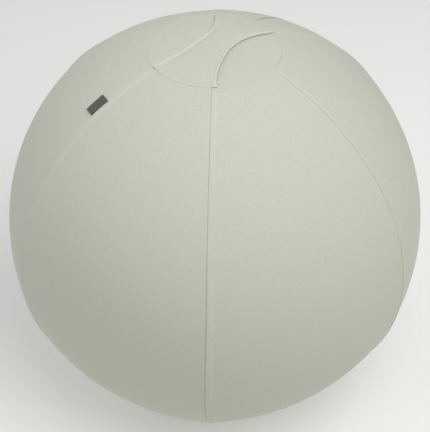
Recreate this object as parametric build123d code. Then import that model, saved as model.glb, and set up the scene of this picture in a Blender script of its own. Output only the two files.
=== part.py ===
from build123d import *
from math import asin, cos, degrees, pi, radians, sin, sqrt, tan
import os

# A sitting ball in a sewn cover: six gores, a crown with a carrying strap, and a weighted, zipped base.
# The origin is on the floor under the ball's middle, +Z is up, and the front seam faces -Y.
# Azimuths count from the front seam, anticlockwise seen from above. Lengths are in millimetres.

# Ball and cover
BALL_RADIUS = 323.0
SEAM_RISE = 3.5
GORE_COUNT = 6
BASE_FLATTENING = 8.0
CLOTH = 1.2
SEAM_GAP = 0.1
FELL_WIDTH = 9.3
FELL_RISE = 0.6
GORE_SPARE_ANGLE = 5.0

# Crown disc and carrying strap
CROWN_RADIUS = 96.0
CROWN_FLAT_RADIUS = 45.0
CROWN_RISE = 4.5
STRAP_THICKNESS = 1.6
STRAP_WAIST = 48.0
STRAP_AZIMUTH = -30.0
STRAP_END_ANGLE = 60.0
STRAP_GAP = 6.5
GRIP_LENGTH = 90.0
GRIP_GAP = 0.2

# Folded tab in the left seam
TAB_AZIMUTH = -60.0
TAB_POLAR_ANGLE = 33.6
TAB_LENGTH = 30.0
TAB_WIDTH = 19.5
TAB_LAYER = 0.6
TAB_FOLD_GAP = 0.3
TAB_ROOT = 2.5
TAB_LIFT = 0.25
TAB_SEAM_GAP = 1.0

# Zip around the back of the base
ZIP_RADIUS = 108.0
ZIP_ARC_ANGLE = 210.0
ZIP_MIDDLE_AZIMUTH = 180.0
SLOT_WIDTH = 10.0
TAPE_THICKNESS = 0.7
TAPE_WIDTH = 12.0
TAPE_TUCK_ANGLE = 6.0
COIL_GAP = 1.8
COIL_WIDTH = 2.4
COIL_HEIGHT = 2.15
COIL_SEAT = 0.05
STOP_LENGTH = 3.0
STOP_HEIGHT = 2.5
GUARD_THICKNESS = 0.6
GUARD_OVERLAP = 8.0
GUARD_HEM = 2.5

# Zip slider and its pull
SLIDER_LENGTH = 11.0
SLIDER_PLATE = 1.2
SLIDER_FLANGE = 0.8
SLIDER_NECK_LENGTH = 3.0
SLIDER_CORNER = 2.0
SLIDER_CLEARANCE = 0.4
EAR_THICKNESS = 1.0
EAR_WIDTH = 3.2
PIN_RADIUS = 0.8
PIN_CLEARANCE = 0.08
PULL_EYE_RADIUS = 2.0
PULL_LENGTH = 20.0
PULL_WIDTH = 5.0
PULL_THICKNESS = 1.4
PULL_TIP_HOLE = 1.4
PULL_CLEARANCE = 0.3

# Ballast in its pouch
BALLAST_HEIGHT = 18.0
BALLAST_INNER_RADIUS = 28.0
POUCH_CLOTH = 0.8
LAYER_GAP = 0.3
POUCH_SIDE_GAP = 1.0

# Bladder and valve
BLADDER_WALL = 1.0
BLADDER_GAP = 0.25
NECK_BORE_RADIUS = 4.6
NECK_WALL = 2.4
NECK_DROP = 1.5
NECK_FLANGE_RADIUS = 13.0
NECK_FLANGE = 1.2
NECK_SEAT_GAP = 0.1
PLUG_CLEARANCE = 0.08
PLUG_SHANK = 11.6
PLUG_HEAD_RADIUS = 8.5
PLUG_HEAD = 2.0
PLUG_RIB_LENGTH = 12.0
PLUG_RIB_WIDTH = 2.5
PLUG_RIB_HEIGHT = 2.0

# Worked out: the gore's bulge, and heights and angles that several pieces share
CENTRE_HEIGHT = BALL_RADIUS - BASE_FLATTENING
HALF_GORE = 180.0 / GORE_COUNT
SEAM_RADIUS = BALL_RADIUS + SEAM_RISE
GORE_HALF_WIDTH = SEAM_RADIUS * sin(radians(HALF_GORE))
GORE_BULGE = BALL_RADIUS - SEAM_RADIUS * cos(radians(HALF_GORE))
GORE_CURVE = (GORE_HALF_WIDTH**2 + GORE_BULGE**2) / (2 * GORE_BULGE)
AXIS_SHIFT = GORE_CURVE - BALL_RADIUS
OUTSIDE = 2 * BALL_RADIUS

RIM_HEIGHT = CENTRE_HEIGHT + sqrt(BALL_RADIUS**2 - CROWN_RADIUS**2)
CROWN_TOP = RIM_HEIGHT + CROWN_RISE
SHOULDER_WIDTH = CROWN_RADIUS - CROWN_FLAT_RADIUS
SHOULDER_RADIUS = (SHOULDER_WIDTH**2 + CROWN_RISE**2) / (2 * CROWN_RISE)

ZIP_ANGLE = asin(ZIP_RADIUS / BALL_RADIUS)
ZIP_START = ZIP_MIDDLE_AZIMUTH - ZIP_ARC_ANGLE / 2 - 90
TAPE_TOP = BALL_RADIUS - CLOTH - SEAM_GAP
TAPE_BOTTOM = TAPE_TOP - TAPE_THICKNESS
COIL_BASE = TAPE_TOP + COIL_SEAT
COIL_TOP = COIL_BASE + COIL_HEIGHT
SLIDER_TOP_UNDERSIDE = COIL_TOP + SLIDER_CLEARANCE
SLIDER_BOTTOM_TOPSIDE = TAPE_BOTTOM - SLIDER_CLEARANCE
SLIDER_BOTTOM = SLIDER_BOTTOM_TOPSIDE - SLIDER_PLATE
GUARD_TOP = SLIDER_BOTTOM - SLIDER_CLEARANCE
GUARD_BOTTOM = GUARD_TOP - GUARD_THICKNESS
TAPE_EDGE = COIL_GAP / 2 + TAPE_WIDTH
SLIDER_HALF_WIDTH = COIL_GAP / 2 + COIL_WIDTH + SLIDER_CLEARANCE + SLIDER_FLANGE
PIN_HEIGHT = SLIDER_TOP_UNDERSIDE + SLIDER_PLATE + PULL_CLEARANCE + PULL_EYE_RADIUS
STOP_ANGLE = degrees(STOP_LENGTH / ZIP_RADIUS)
REST_ANGLE = STOP_ANGLE + degrees((SLIDER_LENGTH / 2 + SLIDER_CLEARANCE) / ZIP_RADIUS)

POUCH_BOTTOM = CLOTH + LAYER_GAP
POUCH_SPHERE = BALL_RADIUS - CLOTH - LAYER_GAP
POUCH_RADIUS = GUARD_BOTTOM * sin(ZIP_ANGLE - TAPE_EDGE / BALL_RADIUS) - POUCH_SIDE_GAP
BALLAST_BOTTOM = POUCH_BOTTOM + POUCH_CLOTH + LAYER_GAP
BALLAST_TOP = BALLAST_BOTTOM + BALLAST_HEIGHT
POUCH_LID = BALLAST_TOP + LAYER_GAP
POUCH_TOP = POUCH_LID + POUCH_CLOTH
WELL_RADIUS = BALLAST_INNER_RADIUS - LAYER_GAP - POUCH_CLOTH
BLADDER_FLOOR = POUCH_TOP + LAYER_GAP
BLADDER_RADIUS = TAPE_BOTTOM - BLADDER_GAP
NECK_RADIUS = NECK_BORE_RADIUS + NECK_WALL
NECK_BOTTOM = BLADDER_FLOOR - NECK_DROP


def at(radius, angle):
    """A point of the half-section, by its distance from the ball's centre and angle from straight down."""
    return (radius * sin(angle), CENTRE_HEIGHT - radius * cos(angle))


def sector(inner, outer, low, high):
    """A strip of the half-section between two radii and two angles about the ball's centre."""
    middle = (low + high) / 2
    edges = [
        ThreePointArc(at(outer, low), at(outer, middle), at(outer, high)),
        Line(at(outer, high), at(inner, high)),
        ThreePointArc(at(inner, high), at(inner, middle), at(inner, low)),
        Line(at(inner, low), at(outer, low)),
    ]
    return make_face(edges)


def zip_strip(inner, outer, low, high):
    """As sector, with the angles given as lengths along the cloth from the zip's middle line."""
    return sector(inner, outer, ZIP_ANGLE + low / BALL_RADIUS, ZIP_ANGLE + high / BALL_RADIUS)


def turned(section, start=0.0, arc=360.0):
    """A half-section turned about the ball's upright axis."""
    return Rot(0, 0, start) * revolve(Plane.XZ * section, Axis.Z, arc)


def upright(radius, low, high):
    """A solid cylinder on the ball's upright axis."""
    return Pos(0, 0, low) * Cylinder(radius, high - low, align=(Align.CENTER, Align.CENTER, Align.MIN))


def rectangle(left, right, low, high):
    """A rectangle of the half-section."""
    return make_face(Polyline((left, low), (right, low), (right, high), (left, high), close=True))


def flat_radius(radius, height):
    """Where a ball of that radius meets a level plane below its centre."""
    return sqrt(radius**2 - (CENTRE_HEIGHT - height) ** 2)


def gore_shell(inner, outer):
    """Cloth bulging between two seams about the +X direction, wider than the gore it is cut from."""
    sweep = HALF_GORE + GORE_SPARE_ANGLE
    crown_angle = asin(CROWN_RADIUS / BALL_RADIUS)
    section = Pos(AXIS_SHIFT, 0) * sector(inner, outer, ZIP_ANGLE / 2, pi - crown_angle / 2)
    return Pos(-AXIS_SHIFT, 0, 0) * Rot(0, 0, -sweep) * revolve(Plane.XZ * section, Axis.Z, 2 * sweep)


def plain_gore():
    """One gore about +X: its cloth, and the stitched fell that lies along its left seam."""
    reach = OUTSIDE * tan(radians(HALF_GORE))
    wedge = extrude(make_face(Polyline((0, 0), (OUTSIDE, -reach), (OUTSIDE, reach), close=True)), OUTSIDE)
    cloth = gore_shell(BALL_RADIUS - CLOTH, BALL_RADIUS) & wedge
    fell_slab = Box(OUTSIDE, FELL_WIDTH, OUTSIDE, align=(Align.MIN, Align.MIN, Align.MIN))
    fell = gore_shell(BALL_RADIUS - CLOTH / 2, BALL_RADIUS + FELL_RISE)
    gore = cloth + (fell & (Rot(0, 0, -HALF_GORE) * fell_slab))
    gore -= upright(CROWN_RADIUS, CENTRE_HEIGHT, OUTSIDE)
    gore -= upright(ZIP_RADIUS, -OUTSIDE, CENTRE_HEIGHT)
    return gore


def zip_slot():
    """The opening that the zip fills, cut from the gores and from the base panel."""
    low = BALL_RADIUS - 2 * CLOTH
    high = BALL_RADIUS + SEAM_RISE + FELL_RISE
    return turned(zip_strip(low, high, -SLOT_WIDTH / 2, SLOT_WIDTH / 2), ZIP_START, ZIP_ARC_ANGLE)


def crown_section(inset):
    """Half-section under the crown: its flat middle and rounded shoulder, moved in by the inset."""
    radius = SHOULDER_RADIUS - inset
    centre = CROWN_TOP - SHOULDER_RADIUS
    top = centre + radius
    side = CROWN_FLAT_RADIUS + radius
    slant = radius * sin(radians(45))
    edges = [
        Line((0, centre), (side, centre)),
        ThreePointArc((side, centre), (CROWN_FLAT_RADIUS + slant, centre + slant), (CROWN_FLAT_RADIUS, top)),
        Line((CROWN_FLAT_RADIUS, top), (0, top)),
        Line((0, top), (0, centre)),
    ]
    return make_face(edges)


def crown_disc():
    """The round panel that closes the gores at the top."""
    shell = crown_section(0) - crown_section(CLOTH)
    reach = rectangle(0, CROWN_RADIUS - SEAM_GAP, CENTRE_HEIGHT, OUTSIDE)
    return turned(shell & reach)


def strap():
    """The whole carrying strap along +X: an hourglass of cloth, bowed over the crown from rim to rim."""
    rim = CROWN_RADIUS - SEAM_GAP
    half_end = radians(STRAP_END_ANGLE / 2)
    corner_x = rim * cos(half_end)
    corner_y = rim * sin(half_end)
    waist = STRAP_WAIST / 2
    outline = make_face(
        [
            ThreePointArc((-corner_x, corner_y), (0, waist), (corner_x, corner_y)),
            ThreePointArc((corner_x, corner_y), (rim, 0), (corner_x, -corner_y)),
            ThreePointArc((corner_x, -corner_y), (0, -waist), (-corner_x, -corner_y)),
            ThreePointArc((-corner_x, -corner_y), (-rim, 0), (-corner_x, corner_y)),
        ]
    )
    rise = CROWN_RISE + STRAP_GAP - SEAM_GAP
    bow = (CROWN_RADIUS**2 + rise**2) / (2 * rise)
    middle = Pos(0, 0, CROWN_TOP + STRAP_GAP - bow)
    shell = middle * Sphere(bow + STRAP_THICKNESS) - middle * Sphere(bow)
    return (Pos(0, 0, CENTRE_HEIGHT) * extrude(outline, OUTSIDE)) & shell


def strap_pieces():
    """The grip that lifts, and the two ends that stay sewn into the crown's rim."""
    whole = strap()
    tall = (Align.CENTER, Align.CENTER, Align.MIN)
    grip = whole & Box(GRIP_LENGTH - 2 * GRIP_GAP, OUTSIDE, OUTSIDE, align=tall)
    ends = whole - Box(GRIP_LENGTH, OUTSIDE, OUTSIDE, align=tall)
    turn = Rot(0, 0, STRAP_AZIMUTH - 90)
    far, near = sorted(ends.solids(), key=lambda end: end.center().X)
    return {"handle_grip": turn * grip, "handle_end_front": turn * near, "handle_end_back": turn * far}


def seam_tab():
    """A folded strip of tape, sewn into the left seam and lying on the gore to its left."""
    polar = radians(TAB_POLAR_ANGLE)
    ring_radius = AXIS_SHIFT + BALL_RADIUS * sin(polar)
    half_gore = radians(HALF_GORE)
    inset = TAB_WIDTH / 2 + TAB_SEAM_GAP + AXIS_SHIFT * sin(half_gore)
    turn = half_gore - asin(inset / ring_radius)
    outward = (sin(polar) * cos(turn), sin(polar) * sin(turn), cos(polar))
    foot = (
        ring_radius * cos(turn) - AXIS_SHIFT,
        ring_radius * sin(turn),
        CENTRE_HEIGHT + BALL_RADIUS * cos(polar),
    )
    seat = Plane(origin=foot, x_dir=(-sin(turn), cos(turn), 0), z_dir=outward)
    thickness = 2 * TAB_LAYER + TAB_FOLD_GAP
    half = TAB_WIDTH / 2
    bottom = TAB_LIFT
    top = TAB_LIFT + thickness
    middle = (bottom + top) / 2
    fold = -half + thickness / 2
    body = make_face(
        [
            Line((fold, bottom), (half, bottom)),
            Line((half, bottom), (half, top)),
            Line((half, top), (fold, top)),
            ThreePointArc((fold, top), (-half, middle), (fold, bottom)),
        ]
    )
    slit = rectangle(fold, half - TAB_ROOT, middle - TAB_FOLD_GAP / 2, middle + TAB_FOLD_GAP / 2)
    tab = Pos(0, TAB_LENGTH / 2, 0) * extrude(Plane.XZ * (body - slit), TAB_LENGTH)
    return Rot(0, 0, TAB_AZIMUTH - HALF_GORE - 90) * (seat.location * tab)


def base_panel(slot):
    """The round panel under the ball: flat where it stands on the floor, dished up to the gores."""
    edge = ZIP_RADIUS - SEAM_GAP
    shell = sector(BALL_RADIUS - CLOTH, BALL_RADIUS, 0, pi / 4)
    shell &= rectangle(0, edge, CLOTH / 2, CENTRE_HEIGHT)
    floor = rectangle(0, flat_radius(BALL_RADIUS, CLOTH / 2), 0, CLOTH) & dish(BALL_RADIUS, 0)
    return turned(shell + floor) - slot


def dish(radius, floor):
    """Half-section of everything inside a ball of that radius and above a level floor."""
    disc = Pos(0, CENTRE_HEIGHT) * Circle(radius)
    return disc & rectangle(0, OUTSIDE, floor, OUTSIDE)


def zip_tapes():
    """The two woven tapes behind the slot's edges."""
    start = ZIP_START - TAPE_TUCK_ANGLE
    arc = ZIP_ARC_ANGLE + 2 * TAPE_TUCK_ANGLE
    cover_side = zip_strip(TAPE_BOTTOM, TAPE_TOP, COIL_GAP / 2, TAPE_EDGE)
    base_side = zip_strip(TAPE_BOTTOM, TAPE_TOP, -TAPE_EDGE, -COIL_GAP / 2)
    return {
        "zip_tape_cover_side": turned(cover_side, start, arc),
        "zip_tape_base_side": turned(base_side, start, arc),
    }


def zip_coils():
    """The two coils on the tapes, as plain bands, between the stops."""
    seat = degrees(COIL_SEAT / ZIP_RADIUS)
    start = ZIP_START + STOP_ANGLE + seat
    arc = ZIP_ARC_ANGLE - 2 * (STOP_ANGLE + seat)
    near = COIL_GAP / 2
    far = near + COIL_WIDTH
    return {
        "zip_coil_cover_side": turned(zip_strip(COIL_BASE, COIL_TOP, near, far), start, arc),
        "zip_coil_base_side": turned(zip_strip(COIL_BASE, COIL_TOP, -far, -near), start, arc),
    }


def zip_stops():
    """A clamp on each tape where the zip closes, and one across both where it opens."""
    near = COIL_GAP / 2
    far = near + COIL_WIDTH
    top = COIL_BASE + STOP_HEIGHT
    first = turned(zip_strip(COIL_BASE, top, near, far), ZIP_START, STOP_ANGLE)
    second = turned(zip_strip(COIL_BASE, top, -far, -near), ZIP_START, STOP_ANGLE)
    last = turned(zip_strip(COIL_BASE, top, -far, far), ZIP_START + ZIP_ARC_ANGLE - STOP_ANGLE, STOP_ANGLE)
    return Compound(children=[first, second, last])


def zip_guard():
    """The strip of cloth between the zip and the bladder, hemmed to the base side's tape."""
    start = ZIP_START - TAPE_TUCK_ANGLE
    arc = ZIP_ARC_ANGLE + 2 * TAPE_TUCK_ANGLE
    strip = zip_strip(GUARD_BOTTOM, GUARD_TOP, -TAPE_EDGE, GUARD_OVERLAP)
    hem = zip_strip(GUARD_BOTTOM, TAPE_BOTTOM - COIL_SEAT, -TAPE_EDGE, GUARD_HEM - TAPE_EDGE)
    return turned(strip + hem, start, arc)


def slider_seat():
    """The slider's own frame at rest: X along the zip, Y across it, Z outwards, from the ball's centre."""
    turn = radians(ZIP_START + REST_ANGLE)
    outward = (sin(ZIP_ANGLE) * cos(turn), sin(ZIP_ANGLE) * sin(turn), -cos(ZIP_ANGLE))
    return Plane(origin=(0, 0, CENTRE_HEIGHT), x_dir=(-sin(turn), cos(turn), 0), z_dir=outward)


def slider_plate(half_width, low, high):
    """One rounded plate of the slider."""
    outline = RectangleRounded(SLIDER_LENGTH, 2 * half_width, SLIDER_CORNER)
    return Pos(0, 0, low) * extrude(outline, high - low)


def zip_slider():
    """The slider: two plates joined by a neck, flanges beside the coils, and ears for the pull's pin."""
    top_plate = SLIDER_TOP_UNDERSIDE + SLIDER_PLATE
    flange_low = COIL_BASE + SLIDER_CLEARANCE
    inside = SLIDER_HALF_WIDTH - SLIDER_FLANGE
    standing = (Align.CENTER, Align.CENTER, Align.MIN)
    channel = Box(2 * SLIDER_LENGTH, 2 * inside, SLIDER_TOP_UNDERSIDE - flange_low, align=standing)
    slider = slider_plate(SLIDER_HALF_WIDTH, flange_low, top_plate) - Pos(0, 0, flange_low) * channel
    slider += slider_plate(inside, SLIDER_BOTTOM, SLIDER_BOTTOM_TOPSIDE)
    neck_width = COIL_GAP - 2 * SLIDER_CLEARANCE
    neck = Box(SLIDER_NECK_LENGTH, neck_width, top_plate - SLIDER_BOTTOM, align=standing)
    slider += Pos(0, 0, SLIDER_BOTTOM) * neck
    ear_inside = PULL_WIDTH / 2 + PULL_CLEARANCE
    ear_outline = rectangle(-EAR_WIDTH / 2, EAR_WIDTH / 2, top_plate - SLIDER_PLATE / 2, PIN_HEIGHT)
    ear_outline += Pos(0, PIN_HEIGHT) * Circle(EAR_WIDTH / 2)
    for side in (ear_inside + EAR_THICKNESS, -ear_inside):
        slider += Pos(0, side, 0) * extrude(Plane.XZ * ear_outline, EAR_THICKNESS)
    slider += Pos(0, 0, PIN_HEIGHT) * Rot(90, 0, 0) * Cylinder(PIN_RADIUS, 2 * ear_inside + EAR_THICKNESS)
    return slider_seat().location * slider


def zip_pull():
    """The pull: an eye round the slider's pin, and a blade that lies along the zip."""
    half = PULL_THICKNESS / 2
    side = Circle(PULL_EYE_RADIUS) + rectangle(0, PULL_LENGTH, -half, half)
    side -= Circle(PIN_RADIUS + PIN_CLEARANCE)
    pull = Pos(0, PULL_WIDTH / 2, 0) * extrude(Plane.XZ * side, PULL_WIDTH)
    pull -= Pos(PULL_LENGTH - 2 * PULL_TIP_HOLE, 0, 0) * Cylinder(PULL_TIP_HOLE, 2 * PULL_THICKNESS)
    return slider_seat().location * (Pos(0, 0, PIN_HEIGHT) * pull)


def ballast_section(side_gap, sphere, floor, top):
    """Half-section of a ring that lies in the base: level floor, dished edge, flat top."""
    inner = BALLAST_INNER_RADIUS - side_gap
    outer = POUCH_RADIUS - POUCH_CLOTH - LAYER_GAP + side_gap
    return dish(sphere, floor) & rectangle(inner, outer, floor, top)


def ballast():
    """The rubber ring, and the two panels of the pouch that is sewn round it."""
    inside_sphere = POUCH_SPHERE - POUCH_CLOTH
    ring = ballast_section(0, inside_sphere - LAYER_GAP, BALLAST_BOTTOM, BALLAST_TOP)
    room = ballast_section(LAYER_GAP, inside_sphere, POUCH_BOTTOM + POUCH_CLOTH, OUTSIDE)
    bag = ballast_section(LAYER_GAP + POUCH_CLOTH, POUCH_SPHERE, POUCH_BOTTOM, POUCH_LID - SEAM_GAP)
    lid = rectangle(WELL_RADIUS, POUCH_RADIUS, POUCH_LID, POUCH_TOP)
    return {"ballast_ring": turned(ring), "pouch_lower": turned(bag - room), "pouch_upper": turned(lid)}


def bladder_section(inset):
    """Half-section of the space that the bladder fills, moved in by the inset."""
    above_crown = rectangle(0, CROWN_RADIUS, CROWN_TOP - SHOULDER_RADIUS, OUTSIDE)
    above_crown -= crown_section(CLOTH + LAYER_GAP + inset)
    zip_top = GUARD_BOTTOM - LAYER_GAP - inset
    zip_room = zip_strip(zip_top, OUTSIDE, -TAPE_EDGE - inset, GUARD_OVERLAP + inset)
    return dish(BLADDER_RADIUS - inset, BLADDER_FLOOR + inset) - above_crown - zip_room


def bladder():
    """The inflated inner ball, flattened where it lies on the ballast, with a hole for the valve."""
    shell = bladder_section(0) - bladder_section(BLADDER_WALL)
    hole = rectangle(0, NECK_RADIUS + NECK_SEAT_GAP, 0, BLADDER_FLOOR + 2 * BLADDER_WALL)
    return turned(shell - hole)


def valve_neck():
    """The valve's tube, with a flange welded to the inside of the bladder."""
    flange_low = BLADDER_FLOOR + BLADDER_WALL + NECK_SEAT_GAP
    top = flange_low + NECK_FLANGE
    tube = rectangle(NECK_BORE_RADIUS, NECK_RADIUS, NECK_BOTTOM, top)
    return turned(tube + rectangle(NECK_BORE_RADIUS, NECK_FLANGE_RADIUS, flange_low, top))


def valve_plug():
    """The plug in the valve's tube, with a rib under its head to pull it by."""
    seat = NECK_BOTTOM - NECK_SEAT_GAP
    shank = NECK_BORE_RADIUS - PLUG_CLEARANCE
    plug = upright(shank, seat - PLUG_HEAD / 2, seat + PLUG_SHANK)
    plug += upright(PLUG_HEAD_RADIUS, seat - PLUG_HEAD, seat)
    hanging = (Align.CENTER, Align.CENTER, Align.MAX)
    rib = Box(PLUG_RIB_LENGTH, PLUG_RIB_WIDTH, PLUG_RIB_HEIGHT + PLUG_HEAD / 2, align=hanging)
    return plug + Pos(0, 0, seat - PLUG_HEAD / 2) * rib


# The gores, counted anticlockwise from the front seam
GORES = ["front_right", "right", "back_right", "back_left", "left", "front_left"]

slot = zip_slot()
gore = plain_gore()
pieces = {}
for index, name in enumerate(GORES):
    pieces[f"gore_{name}"] = Rot(0, 0, HALF_GORE * (2 * index + 1) - 90) * gore - slot
pieces["crown_disc"] = crown_disc()
pieces.update(strap_pieces())
pieces["seam_tab"] = seam_tab()
pieces["base_panel"] = base_panel(slot)
pieces.update(zip_tapes())
pieces.update(zip_coils())
pieces["zip_stops"] = zip_stops()
pieces["zip_guard"] = zip_guard()
pieces["zip_slider"] = zip_slider()
pieces["zip_pull"] = zip_pull()
pieces.update(ballast())
pieces["bladder"] = bladder()
pieces["valve_neck"] = valve_neck()
pieces["valve_plug"] = valve_plug()

os.makedirs("parts", exist_ok=True)
for name, piece in pieces.items():
    export_step(piece, f"parts/{name}.step")
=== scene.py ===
from math import asin, cos, pi, radians, sin, sqrt

import bmesh
import bpy
import numpy as np
from mathutils import Matrix, Vector


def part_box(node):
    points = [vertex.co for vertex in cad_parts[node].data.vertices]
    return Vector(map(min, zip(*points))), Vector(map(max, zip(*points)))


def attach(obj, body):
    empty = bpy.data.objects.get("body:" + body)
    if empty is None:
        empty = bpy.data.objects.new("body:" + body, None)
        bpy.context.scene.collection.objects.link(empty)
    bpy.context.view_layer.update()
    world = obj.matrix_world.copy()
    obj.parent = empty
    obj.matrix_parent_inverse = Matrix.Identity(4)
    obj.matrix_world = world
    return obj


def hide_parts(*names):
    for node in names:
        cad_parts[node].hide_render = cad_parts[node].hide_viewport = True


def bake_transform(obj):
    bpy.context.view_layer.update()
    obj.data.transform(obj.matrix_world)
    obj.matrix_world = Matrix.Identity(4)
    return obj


# A sitting ball in a sewn cover, in the order in which it is made up. Lengths are in metres.
# The front seam faces -Y. Angles about the ball's axis count from +X, anticlockwise seen from above.
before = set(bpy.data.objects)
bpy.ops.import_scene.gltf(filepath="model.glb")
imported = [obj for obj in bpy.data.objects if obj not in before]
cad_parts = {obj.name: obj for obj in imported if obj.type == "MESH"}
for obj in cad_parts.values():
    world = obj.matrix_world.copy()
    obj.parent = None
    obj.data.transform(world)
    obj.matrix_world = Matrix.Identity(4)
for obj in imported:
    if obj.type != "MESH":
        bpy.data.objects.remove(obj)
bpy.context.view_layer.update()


# Cover gores
# Six gores of plain-woven polyester, sewn edge to edge and pulled tight by the air bladder inside.
# One edge of each is folded over its seam allowance and topstitched, so a raised flat band runs beside
# every seam line, and the next gore's cloth dips under that fold.
ball_radius = 0.323
ball_middle = 0.315
seam_radius = 0.3265
cloth_thickness = 0.0012
half_sector = pi / 6
axis_shift = (seam_radius**2 - ball_radius**2) / (2 * (ball_radius - seam_radius * cos(half_sector)))
front_turn = -pi / 2
back_turn = pi / 2
gore_names = ["front_right", "right", "back_right", "back_left", "left", "front_left"]
gore_middles = {name: half_sector * (2 * count + 1) + front_turn for count, name in enumerate(gore_names)}
gore_rows = 150
gore_columns = 17
gore_end_inset = 0.005
rim_rounds = 4  # places on a gore and its rims hang on each other, and settle in a few rounds
crown_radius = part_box("crown_disc")[1].x
rim_corner = 0.0022
rim_corner_sharpness = 10
zip_radius = 0.108
zip_turn = asin(zip_radius / ball_radius)
zip_half_arc = radians(105)
zip_slot_half = 0.005
zip_slot_taper = radians(1.5)

# Height of the cloth over the gore's plain surface, by distance from its folded edge: a groove, then the
# band, which flattens towards the crown and the base
band_distance = np.array(
    [0, 0.2, 0.45, 0.8, 1.4, 2.1, 2.9, 4.6, 6.6, 7.4, 8.1, 8.9, 9.5, 10.4, 12.5, 16]
) / 1000
band_height = np.array([-8, -3, 3.5, 7.5, 9, 7.6, 9.2, 10.2, 9.8, 7.8, 9, 7.5, 3, -0.8, -0.6, 0]) / 10000
groove_width = 0.001
band_end_distance = [0, 0.0025, 0.009]
band_end_share = [0, 0.3, 1]
# Height by distance from the edge that is tucked under the next gore's fold, and from the rims
tuck_distance = np.array([0, 0.25, 0.6, 1.2, 2.4, 4.5, 8]) / 1000
tuck_height = np.array([-0.8, -0.35, -0.08, 0, 0, 0, 0]) / 1000
rim_distance = np.array([0, 0.4, 0.8, 1.4, 2.6]) / 1000
rim_height = np.array([-0.9, -0.4, -0.15, -0.03, 0]) / 1000
# Painted highlight on the band, with some paling from rubbing at its fold,
# by distance from the folded edge and angle from straight up
rub_highlight_distance = np.array([0, 0.45, 0.8, 1.4, 2.1, 6.6, 8.1, 8.9, 9.5]) / 1000
rub_highlight_share = np.array([0, 0.18, 0.28, 0.16, 0.05, 0.08, 0.14, 0.1, 0])
rub_highlight_polar = np.radians([17, 27, 38, 60])
rub_highlight_fade = np.array([2.2, 1.8, 0.7, 0.6])
# Each seam by the gore that is folded there: depth of its line and height of its band, both near the crown
# and lower down, and the strength of its band's painted highlight and paling from rubbing, most on the seams
# in front
seam_forms = {
    "front_right": {"line": (1.0, 0.85), "band": (1.0, 1.0), "rub_highlight": 1.0},
    "right": {"line": (0.8, 0.9), "band": (0.9, 1.0), "rub_highlight": 0.6},
    "back_right": {"line": (0.3, 0.8), "band": (0.5, 1.0), "rub_highlight": 0.25},
    "back_left": {"line": (0.5, 0.8), "band": (0.3, 1.0), "rub_highlight": 0.4},
    "left": {"line": (0.5, 0.8), "band": (0.7, 1.0), "rub_highlight": 0.25},
    "front_left": {"line": (0.45, 0.6), "band": (1.0, 0.35), "rub_highlight": 0.9},
}
line_polar = np.radians([18, 40])
band_polar = np.radians([40, 65])
# The sewn seams wander a little sideways: the front, right and left ones, by angle from straight up
wander_polar = np.radians([18, 24, 30, 38, 46, 56, 75, 100, 118, 140, 158])
wander_width = radians(16)
seam_wander = {
    radians(-90): np.radians([0, 0, 0, 0, 0, 0, 0, -0.4, -0.6, -0.5, 0]),
    radians(-30): np.radians([0, -1.0, -1.0, -1.2, -1.4, -1.0, -0.75, -0.5, -0.3, 0, 0]),
    radians(210): np.radians([0, 0.3, 0.7, 0.9, 0.8, 0.5, 0.4, 0.2, 0, 0, 0]),
}
# The layers of the strap's ends raise the rim of the gores beside them
strap_turn = radians(-120)
end_ridge_distance = np.array([0, 4, 12, 25, 45]) / 1000
end_ridge_height = np.array([1.0, 0.95, 0.6, 0.25, 0]) / 1000
end_ridge_turn = np.radians([27, 34])
# The pull of the seams draws the cloth up into ridges, by distance from the seam and angle from straight up.
# The back seam stays flat
ridge_distance = np.array([0, 4, 10, 20, 35, 60, 100]) / 1000
ridge_height = np.array([16, 13, 9.8, 6.4, 3.6, 1.4, 0]) / 10000
ridge_polar = np.radians([17, 22, 32, 45, 60, 120, 150, 163])
ridge_share = np.array([0, -0.2, 0, 0.5, 1, 1, 0.4, 0])
flat_seam_width = radians(10)
# The cover is slack behind the crown and full beside that: a hollow and a bulge, each with its angle and
# width about the axis, its height, and its share by angle from straight up
swells = [
    (radians(98), radians(20), -0.0022, np.radians([18, 30, 46, 66]), [0, 1, 1, 0]),
    (radians(42), radians(26), 0.0030, np.radians([19, 32, 52, 85]), [0, 1, 0.9, 0]),
]
# A pucker runs down from the rim where the strap's back end pulls on it: a groove beside a small pleat
puckered_gore = "back_right"
pucker_across = np.array([-9, -5, -3.2, -2.2, -1.5, -0.9, -0.3, 0.3, 0.9, 1.6, 2.4, 3.4, 5, 9]) / 1000
pucker_height = np.array([0, 1, 1.5, 1, -8, -22, -30, -16, 3, 9, 10, 6, 2, 0]) / 10000
pucker_shift = np.array([0, 0, 0, 0, 0, 0, 0, 0, -13, -22, -18, -10, -4, 0]) / 10000
pucker_share = 0.45
pucker_polar = np.radians([17.5, 19, 22, 30, 34, 38])
pucker_fade = np.array([0, 0.5, 0.8, 0.8, 0.5, 0])


def turn_from(start, angle, cycle=2 * pi):
    """Turn about the ball's axis from one angle, or the nearest of several round it, to another."""
    return (angle - start + cycle / 2) % cycle - cycle / 2


def bell(distance, width):
    """A smooth swell: 1 in its middle, about a third at its width and next to nothing at twice that."""
    return np.exp(-((distance / width) ** 2))


def round_axis(reach, angle, height):
    """Points by distance from the ball's axis, angle about it and height."""
    return np.stack([reach * np.cos(angle), reach * np.sin(angle), height + 0 * angle], axis=-1)


def gore_ring(polar):
    """Distance from the gore's own turning axis at an angle from straight up."""
    return axis_shift + ball_radius * np.sin(polar)


def gore_half_turn(polar):
    """Turn about that axis from the gore's middle to its seam."""
    return half_sector - np.arcsin(axis_shift * sin(half_sector) / gore_ring(polar))


def gore_rim(turn, radius):
    """Angle from straight up, or straight down, at which the gore is that far from the ball's axis."""
    reach = axis_shift * np.cos(turn) + np.sqrt(radius**2 - (axis_shift * np.sin(turn)) ** 2)
    return np.arcsin((reach - axis_shift) / ball_radius)


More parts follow.
